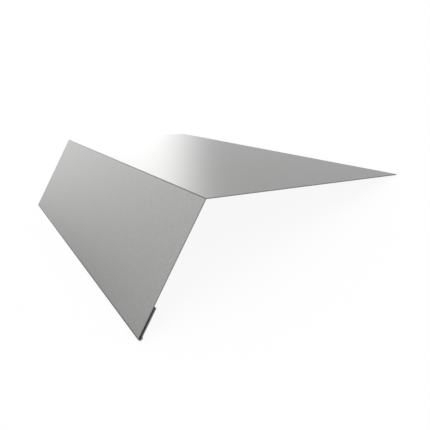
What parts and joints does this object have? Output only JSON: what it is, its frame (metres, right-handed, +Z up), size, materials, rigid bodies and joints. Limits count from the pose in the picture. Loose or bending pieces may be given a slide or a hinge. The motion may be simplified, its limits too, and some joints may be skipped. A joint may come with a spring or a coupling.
{
  "type": "eaves flashing",
  "caption": "Folded sheet-metal eaves flashing: a wide flange for the roof deck, a drip leg at 120 degrees to it, and a teardrop hem turned back behind the leg's lower edge.",
  "frame": {"origin": "centre of the base of the bounding box, on the level floor that the flashing stands on", "axes": "+Y along the fold, +X from the leg towards the flange's free edge, +Z up"},
  "size_m": [0.1678, 0.28, 0.0449],
  "materials": {
    "coated_steel": "satin silver-grey metallic coat, very fine grain"
  },
  "bodies": {
    "root": {"eaves_flashing": "coated_steel"}
  },
  "joints": []
}
